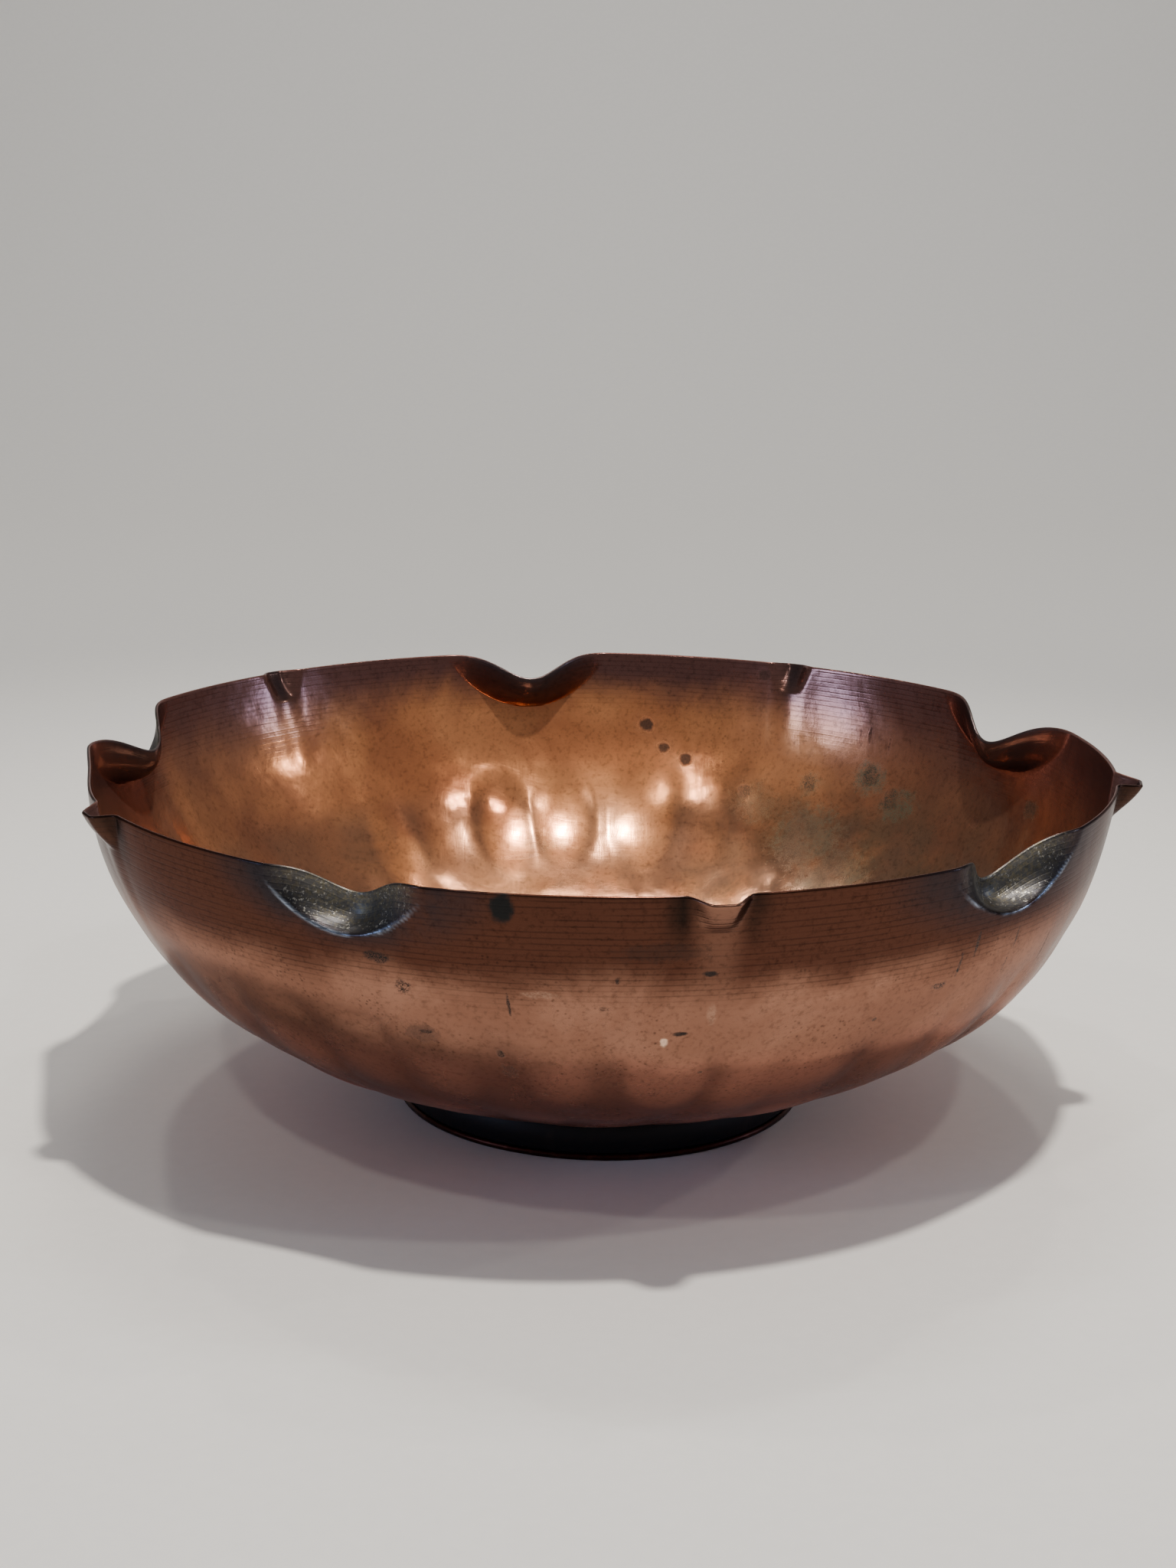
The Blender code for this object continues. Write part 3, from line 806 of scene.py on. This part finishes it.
def hammered_copper(colours):
    """Copper of the shell, browned outside with turned lines, blued in the scoops and bright inside, with
    painted light and shade.
    """
    made, tree, shader, where = new_material("hammered_copper")
    at = WallMasks(tree, where)
    outside, dark_marks = outside_copper(tree, at, colours)
    within, green, spots = inside_copper(tree, at, colours)
    both = tree.mix(at.inside, outside, within)
    mottle = tree.patches(where, 0.30, 0.52, 620.0, 4.0, 0.7)
    tree.feed(shader.inputs["Base Color"], tree.mix(mottle, tree.mix(0.30, both, (0.0, 0.0, 0.0)), both))

    dirt_within = tree.math("MAXIMUM", tree.times(green, 0.5), spots)
    dirt_outside = tree.times(dark_marks, tree.rest(at.inside))
    dirt = tree.math("MAXIMUM", dirt_outside, tree.times(dirt_within, at.inside))
    clean = tree.rest(tree.times(dirt, 0.8))
    tree.feed(shader.inputs["Metallic"], tree.times(tree.blend(at.inside, 0.95, 0.78), clean))
    shader.inputs["Specular Tint"].default_value = (0.58, 0.56, 0.57, 1.0)
    dulled = tree.ramp(at.cloud, 0.3, 0.7)
    rough_out = tree.blend(at.scoop, tree.blend(dulled, 0.21, 0.31), 0.46)
    rough = tree.blend(at.inside, rough_out, tree.blend(dulled, 0.14, 0.25))
    tree.feed(shader.inputs["Roughness"], tree.math("ADD", rough, tree.times(dirt, 0.45), clamp=True))

    # Heights of the scratches, of the planishing and of the turned lines' cut.
    scratches = tree.times(at.grain, 0.04 * MM)
    planish = tree.times(tree.noise(where, 70.0, 2.0, 0.4), tree.blend(at.inside, 0.2 * MM, 0.4 * MM))
    cut = tree.times(at.lines_above(0.014, 0.034), tree.blend(at.inside, 0.03 * MM, 0.012 * MM))
    raise_normal(tree, shader, tree.math("SUBTRACT", tree.math("ADD", scratches, planish), cut))
    return made


def ring_copper(name, colour, rubbed, roughness, metallic, wear):
    """Copper of the foot: one colour, rubbed to a second along clouds, speckled and grained."""
    made, tree, shader, where = new_material(name)
    cloud, grain = placed(tree, handling_group(), where=where, cloud_size=0.012)[:2]
    dots = placed(tree, speckle_group(), where=where, size=0.0012, amount=1.0)[0]
    tree.feed(shader.inputs["Base Color"], layered(tree, colour, (
        (tree.ramp(cloud, 0.5, 0.72), wear, rubbed),
        (dots, 0.5, [0.4 * c for c in colour]),
    )))
    shader.inputs["Metallic"].default_value = metallic
    tree.feed(shader.inputs["Roughness"], tree.blend(cloud, roughness - 0.08, roughness + 0.1))
    raise_normal(tree, shader, tree.math("ADD", tree.times(grain, 0.08 * MM), tree.times(cloud, 0.2 * MM)))
    return made


def plain_material(name, colour, roughness):
    """Stage material: one soft colour with a faint grain in it and in its roughness."""
    made, tree, shader, where = new_material(name)
    grain = tree.noise(where, 220.0, 3.0, 0.6)
    shade = tree.mix(tree.ramp(grain, 0.3, 0.7), [0.98 * c for c in colour], colour)
    tree.feed(shader.inputs["Base Color"], shade)
    tree.feed(shader.inputs["Roughness"], tree.blend(grain, roughness - 0.05, roughness + 0.05))
    return made


# ---- Sizes and colours that a user would change

def length(name, description, default):
    return FloatProperty(name=name, description=description, default=default, unit="LENGTH", precision=4)


def tilt(name, description, default):
    return FloatProperty(name=name, description=description, default=default, subtype="ANGLE")


def number(name, description, default, **limits):
    return FloatProperty(name=name, description=description, default=default, **limits)


def integer(name, description, default, **limits):
    return IntProperty(name=name, description=description, default=default, **limits)


def colour(name, description, default):
    limits = {"subtype": "COLOR", "size": 3, "min": 0.0, "max": 1.0}
    return FloatVectorProperty(name=name, description=description, default=default, **limits)


class CopperBowlShell(bpy.types.PropertyGroup):
    """Sizes of the shell."""

    rim_radius: length("Rim radius", "Radius of the rim's plain circle", 0.155)
    rim_height: length("Rim height", "Height of the plain rim above the table", 0.1068)
    rim_lean: tilt("Rim lean", "Lean of the wall outwards at the rim", math.radians(8.8))
    rim_pull: length("Rim pull", "Length of the section's handle below the rim", 0.0569)
    bottom_radius: length("Bottom radius", "Radius of the flat bottom", 0.060)
    bottom_height: length("Bottom height", "Height of the bottom's underside", BODY_LOW.z)
    bottom_rise: tilt("Bottom rise", "Rise of the wall where it leaves the bottom", math.radians(16.0))
    bottom_pull: length("Bottom pull", "Length of the section's handle out from the bottom", 0.0577)
    wall: length("Wall", "Thickness of the sheet", 0.0010)
    rim_shift: length("Rim shift", "How far the rim's circle lies off the foot's axis", -0.0026)
    shift_start: number("Shift start", "Share of the height where the shift begins", 0.45, min=0.0, max=0.9)
    lobe_count: integer("Lobes", "Hammered lobes round the wall", 34, min=18, max=60)
    lobe_height: length("Lobe height", "Height of the hammered lobes", 0.00122)
    unevenness: length("Unevenness", "Height of the low waves of a hand-raised wall", 0.00022)
    scoop_step: number("Scoop step", "Degrees between columns across a scoop", 0.34)
    beak_step: number("Beak step", "Degrees between columns across a beak", 0.30)
    plain_step: number("Plain step", "Degrees between columns of plain wall", 0.95)
    upper_rows: integer("Upper rows", "Rows down the band of scoops and beaks", 32)
    lower_rows: integer("Lower rows", "Rows from there to the bottom", 34)
    bottom_rings: integer("Bottom rings", "Rings across the flat bottom", 4)


class CopperBowlFinish(bpy.types.PropertyGroup):
    """Colours of the copper's patinas, and of the light and shade painted into them."""

    # The outside's bands stand for reflections: the rim band is a painted reflection of dark surroundings, the
    # brown and pale band below it a painted reflection of the lit floor, and the red near the foot is
    # lightened against the shade there.
    rim_band_dark_reflection: colour("Rim band", "Dark brown under the rim", (0.078, 0.030, 0.0185))
    outside_brown: colour("Outside brown", "Browned copper of the wall", (0.277, 0.130, 0.083))
    outside_pale_reflection: colour("Outside pale", "Cleaner copper of the wall", (0.370, 0.185, 0.122))
    outside_orange: colour("Outside orange", "Copper below the wall's turn", (0.522, 0.230, 0.149))
    outside_red_shade_lift: colour("Outside red", "Reddened copper near the foot", (0.780, 0.317, 0.214))
    # Painted highlight on the beaks' faces.
    beak_face_highlight: colour("Face", "Rubbed faces of the beaks", (0.360, 0.180, 0.120))
    # Painted highlights: small bright spots on the outer wall.
    spot_highlight: colour("Burnished", "Small bare dents", (0.900, 0.620, 0.450))
    # Painted shade in the valleys between the hammered lobes.
    valley_shade_brown: colour("Valley brown", "Tarnish between the hammered lobes", (0.130, 0.058, 0.042))
    line_brown: colour("Line brown", "Turned lines and speckles", (0.020, 0.009, 0.007))
    # Blackened marks, and painted shade on the beaks' sides.
    soot_and_shade: colour("Soot", "Blackened marks", (0.007, 0.007, 0.006))
    gunmetal: colour("Gunmetal", "Blued copper of the scoops", (0.110, 0.105, 0.100))
    olive: colour("Olive", "Speckle in the scoops", (0.170, 0.150, 0.105))
    # A dark band round the scoops, and painted shade in the grooves inside the beaks.
    halo_and_groove_shade: colour("Halo blue", "Darkened copper round the scoops", (0.024, 0.022, 0.026))
    # Painted highlights: pale specks in the scoops.
    scoop_glint_highlight: colour("Glint", "Bare specks in the scoops", (0.620, 0.600, 0.540))
    # Painted shade at the lower ends of the scoops' pockets.
    fold_shade_blue: colour("Fold blue", "Blued copper low in the scoops", (0.052, 0.054, 0.064))
    # Painted highlight: a bright line along each crease.
    crease_highlight_blue: colour("Crease blue", "Burnished creases", (0.400, 0.460, 0.560))
    inside_orange: colour("Inside orange", "Copper of the inside", (0.648, 0.234, 0.103))
    # Painted light: the browner sides of the inside, away from the lighter one.
    inside_shaded_side: colour("Inside side", "Browner copper away from the worn side", (0.246, 0.108, 0.065))
    inside_pale: colour("Inside pale", "Cleaner copper of the inside", (0.978, 0.412, 0.170))
    # Painted reflection: dark band under the rim, inside.
    inside_rim_dark_reflection: colour("Inside brown", "Browned copper under the rim", (0.196, 0.093, 0.079))
    # Painted reflection: the scoops' flaps, seen from inside, painted dark.
    flap_dark_reflection: colour("Fold brown", "Browned folds of the rim, inside", (0.087, 0.067, 0.067))
    # Dulled copper low in the bowl, and painted shade in the valleys between the lobes.
    inside_dull_and_valley_shade: colour("Inside dull", "Dulled copper low in the bowl", (0.230, 0.125, 0.080))
    inside_green: colour("Inside green", "Greenish brown of the corroded side", (0.150, 0.112, 0.070))
    verdigris: colour("Verdigris", "Green corrosion", (0.055, 0.105, 0.068))
    spot_brown: colour("Spot brown", "Round dark spots", (0.016, 0.011, 0.008))
    foot_black: colour("Foot black", "Black patina of the hoop", (0.006, 0.005, 0.007))
    foot_rubbed: colour("Foot rubbed", "Where the black has rubbed thin", (0.022, 0.014, 0.013))
    wire_red: colour("Wire red", "Dark red copper of the wire ring", (0.040, 0.013, 0.010))
    wire_rubbed: colour("Wire rubbed", "Rubbed copper of the wire ring", (0.130, 0.046, 0.032))
    solder_grey: colour("Solder grey", "Tarnished solder", (0.060, 0.050, 0.046))
    solder_bright: colour("Solder bright", "Bright slivers of solder", (0.560, 0.500, 0.470))


class CopperBowlStage(bpy.types.PropertyGroup):
    """Floor, light and camera."""

    floor_colour: colour("Floor", "Colour of the floor and its sweep", (0.800, 0.790, 0.765))
    wall_colour: colour("Backdrop", "Colour of the light around", (0.490, 0.505, 0.540))
    ambient: number("Ambient", "Strength of the light around", 0.34)
    lens: number("Lens", "Focal length in mm on a 36 mm sensor's long side", 54.26)
    camera_x: length("Camera X", "Camera place", -0.00477)
    camera_y: length("Camera Y", "Camera place", -0.69666)
    camera_z: length("Camera Z", "Camera height", 0.27083)
    camera_pitch: tilt("Camera pitch", "Tilt down", 0.2454)
    camera_roll: tilt("Camera roll", "Lean to the left", 0.0163)


# ---- Foot and stage

HOOP_WALL = 1.2 * MM                # thickness of the hoop's strip
HOOP_LEAN = 1.2 * MM                # how far its top lies in from its foot
HOOP_EDGE = 0.2 * MM                # bevel of its edges
WIRE_FLAT = 0.12                    # share of the wire's radius rubbed away underneath
SEAM_WIDTH = 1.4 * MM               # width of the solder's fillet

# Floor: radius of its sweep, how far back it stands upright, its height there, its front edge, half its width.
SWEEP_BEND, SWEEP_BACK, SWEEP_TOP, SWEEP_FRONT, SWEEP_HALF = 0.9, 2.2, 2.6, -3.2, 4.5

# Lights: name, place, point they face, diameter, power in watts and colour.
WARM, COOL = (1.0, 0.93, 0.84), (0.46, 0.62, 1.0)
SPOT_LIGHT = ("lamp_key", (0.237, -0.390, 1.95), (0.0, 0.0, 0.05), 0.09, 138.0, WARM)
SPOT_SPREAD = math.radians(38.0)
AREA_LIGHTS = (
    ("lamp_front_left", (-0.55, -1.00, 1.45), (0.0, 0.0, 0.05), 0.08, 2.6, WARM),
    ("lamp_front_right", (0.70, -0.70, 1.55), (0.0, 0.0, 0.05), 0.08, 2.6, WARM),
    ("lamp_back_left", (-0.55, 0.65, 1.50), (0.0, 0.0, 0.05), 0.08, 2.6, WARM),
    ("lamp_back_right", (0.45, 0.75, 1.60), (0.0, 0.0, 0.05), 0.08, 2.6, WARM),
    ("lamp_right", (1.50, 0.12, 0.85), (0.0, 0.0, 0.06), 0.06, 1.8, WARM),
    ("soft_top", (0.0, 0.0, 2.0), (0.0, 0.0, 0.0), 1.6, 2.8, (1.0, 0.97, 0.92)),
    ("wash_back", (0.0, 1.0, 2.4), (0.0, 2.2, 0.6), 0.8, 22.0, (1.0, 0.94, 0.85)),
    ("window_right", (1.60, -0.05, 0.42), (0.0, 0.0, 0.09), 0.36, 3.4, COOL),
    ("window_left", (-1.45, -0.72, 0.46), (0.0, 0.0, 0.09), 0.36, 4.2, COOL),
)


def settle(piece, node, material):
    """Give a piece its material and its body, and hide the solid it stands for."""
    piece.data.materials.append(material)
    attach(piece, "root")
    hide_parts(node)


def hoop_ring(finish):
    """The hoop: a sheet strip that leans in a little towards its top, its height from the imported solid."""
    low, top = HOOP_HIGH.x, HOOP_HIGH.x - HOOP_LEAN
    z0, z1 = HOOP_LOW.z, HOOP_HIGH.z
    outline = (
        (low - HOOP_EDGE, z0, 1.0),
        (low, z0 + HOOP_EDGE, 1.0),
        (top, z1 - HOOP_EDGE, 0.6),
        (top - HOOP_EDGE, z1, 0.6),
        (top - HOOP_WALL, z1 - 0.3 * MM, 0.6),
        (low - HOOP_WALL, z0 + HOOP_EDGE, 1.0),
        (low - HOOP_WALL + HOOP_EDGE, z0, 1.0),
    )

    def waver(angle):
        return 0.12 * MM * (sine(angle, 3, 40) + 0.6 * sine(angle, 8, 150))

    piece = turned_ring("foot_hoop", outline, waver)
    material = ring_copper("black_patina", finish.foot_black, finish.foot_rubbed, 0.5, 0.6, 0.6)
    settle(piece, "foot_ring", material)


def wire_ring(finish):
    """The wire ring: a round wire rubbed flat underneath, its section a circle cut by the table."""
    height = WIRE_HIGH.z - WIRE_LOW.z
    radius = 0.5 * height
    turns = np.linspace(0.0, 2.0 * np.pi, 20, endpoint=False)
    r = WIRE_HIGH.x - radius + radius * np.cos(turns)
    z = np.maximum(radius + radius * np.sin(turns), WIRE_FLAT * radius) - WIRE_FLAT * radius
    outline = np.stack((r, z * height / z.max(), np.ones_like(turns)), axis=-1)

    def waver(angle):
        return 0.08 * MM * sine(angle, 5, 75)

    piece = turned_ring("foot_wire", outline, waver)
    material = ring_copper("bare_copper", finish.wire_red, finish.wire_rubbed, 0.36, 1.0, 0.7)
    settle(piece, "foot_base_ring", material)


def solder_seam(finish):
    """The fillet of solder: a lumpy bead in the corner between the hoop and the shell's underside."""
    inner, outer = SEAM_HIGH.x - SEAM_WIDTH, SEAM_HIGH.x
    z0, z1 = SEAM_LOW.z, SEAM_HIGH.z
    outline = (
        (inner, z0, 0.2),
        (inner + 0.5 * MM, z0 + 0.3 * MM, 1.0),
        (outer, z1 - 0.2 * MM, 1.0),
        (outer - 0.2 * MM, z1, 0.6),
        (inner, z1 - 0.6 * MM, 0.0),
    )

    def waver(angle):
        lumps = sine(angle, 23) * sine(angle, 7, 20) + 0.8 * sine(angle, 41, 60) * sine(angle, 11)
        return 0.14 * MM * lumps

    piece = turned_ring("foot_solder", outline, waver, 540)
    material = ring_copper("solder", finish.solder_grey, finish.solder_bright, 0.4, 0.9, 0.8)
    settle(piece, "foot_solder_seam", material)


def lamp(kind, name, place, target, size, power, colour):
    """Disc light or spot at a place, turned to face a target."""
    data = bpy.data.lights.new(name, kind)
    if kind == "AREA":
        data.shape = "DISK"
        data.size = size
    else:
        data.shadow_soft_size = 0.5 * size
        data.spot_size = SPOT_SPREAD
        data.spot_blend = 1.0
    data.energy = power
    data.color = colour
    made = add_object(name, data)
    made.visible_camera = False
    made.location = place
    made.rotation_euler = (Vector(place) - Vector(target)).to_track_quat("Z", "Y").to_euler()


def floor_sweep(stage):
    """Pale floor that sweeps up behind: a level run, a quarter round and an upright, drawn wide."""
    foot = SWEEP_BACK - SWEEP_BEND
    turns = np.linspace(0.0, 0.5 * np.pi, 25)
    profile = np.concatenate((
        np.stack((np.linspace(SWEEP_FRONT, foot, 12, endpoint=False), np.zeros(12)), axis=-1),
        np.stack((foot + SWEEP_BEND * np.sin(turns), SWEEP_BEND - SWEEP_BEND * np.cos(turns)), axis=-1),
        ((SWEEP_BACK, SWEEP_TOP),),
    ))
    across = np.linspace(-SWEEP_HALF, SWEEP_HALF, 9)
    width = len(across)
    x = np.repeat(across[None, :], len(profile), axis=0)
    y, z = (np.repeat(profile[:, i:i + 1], width, axis=1) for i in (0, 1))
    a = (np.arange(len(profile) - 1)[:, None] * width + np.arange(width - 1)[None, :]).ravel()
    quads = np.stack((a, a + 1, a + 1 + width, a + width), axis=-1)
    piece = mesh_piece("floor", np.stack((x, y, z), axis=-1), quads)
    piece.data.materials.append(plain_material("stage_pale", stage.floor_colour, 0.7))


def studio_camera(stage):
    """Camera at the viewing place: tilted down, then leaned to the left."""
    pitch, roll = stage.camera_pitch, stage.camera_roll
    right = np.array((1.0, 0.0, 0.0))
    up = np.array((0.0, math.sin(pitch), math.cos(pitch)))
    ahead = np.array((0.0, math.cos(pitch), -math.sin(pitch)))
    right, up = math.cos(roll) * right + math.sin(roll) * up, math.cos(roll) * up - math.sin(roll) * right
    data = bpy.data.cameras.new("camera")
    data.lens = stage.lens
    data.sensor_width = 36.0
    data.clip_start = 0.01
    camera = add_object("camera", data)
    place = Matrix.Translation((stage.camera_x, stage.camera_y, stage.camera_z))
    camera.matrix_world = place @ Matrix(np.stack((right, up, -ahead), axis=1).tolist()).to_4x4()
    bpy.context.scene.camera = camera


def studio_world(stage):
    """Even light from all round."""
    world = bpy.data.worlds.new("studio")
    world.use_nodes = True
    background = world.node_tree.nodes["Background"]
    background.inputs["Color"].default_value = (*stage.wall_colour, 1.0)
    background.inputs["Strength"].default_value = stage.ambient
    bpy.context.scene.world = world


# ---- Operators and panel

class COPPERBOWL_OT_shell(bpy.types.Operator):
    """Build the hammered shell"""

    bl_idname = "copper_bowl.shell"
    bl_label = "Hammered shell"

    def execute(self, context):
        piece = bowl_shell(context.scene.copper_bowl_shell)
        settle(piece, "bowl_body", hammered_copper(context.scene.copper_bowl_finish))
        return {"FINISHED"}


class COPPERBOWL_OT_foot(bpy.types.Operator):
    """Build the blackened hoop, its wire ring and the solder"""

    bl_idname = "copper_bowl.foot"
    bl_label = "Foot"

    def execute(self, context):
        for build in (hoop_ring, wire_ring, solder_seam):
            build(context.scene.copper_bowl_finish)
        return {"FINISHED"}


class COPPERBOWL_OT_stage(bpy.types.Operator):
    """Lay the pale floor, hang the lights and place the camera"""

    bl_idname = "copper_bowl.stage"
    bl_label = "Stage"

    def execute(self, context):
        for build in (floor_sweep, studio_camera, studio_world):
            build(context.scene.copper_bowl_stage)
        lamp("SPOT", *SPOT_LIGHT)
        for row in AREA_LIGHTS:
            lamp("AREA", *row)
        return {"FINISHED"}


class COPPERBOWL_PT_panel(bpy.types.Panel):
    """Buttons that build each piece"""

    bl_label = "Copper Bowl"
    bl_idname = "COPPERBOWL_PT_panel"
    bl_space_type = "VIEW_3D"
    bl_region_type = "UI"
    bl_category = "Copper Bowl"

    def draw(self, context):
        for operator in OPERATORS:
            self.layout.operator(operator.bl_idname)


GROUPS = {
    "copper_bowl_shell": CopperBowlShell,
    "copper_bowl_finish": CopperBowlFinish,
    "copper_bowl_stage": CopperBowlStage,
}
OPERATORS = (COPPERBOWL_OT_shell, COPPERBOWL_OT_foot, COPPERBOWL_OT_stage)
CLASSES = (*GROUPS.values(), *OPERATORS, COPPERBOWL_PT_panel)


def register():
    for cls in CLASSES:
        bpy.utils.register_class(cls)
    for name, group in GROUPS.items():
        setattr(bpy.types.Scene, name, PointerProperty(type=group))


def unregister():
    for name in GROUPS:
        delattr(bpy.types.Scene, name)
    for cls in reversed(CLASSES):
        bpy.utils.unregister_class(cls)


def main():
    register()
    bpy.ops.copper_bowl.shell()
    bpy.ops.copper_bowl.foot()
    bpy.ops.copper_bowl.stage()


if __name__ == "__main__":
    main()
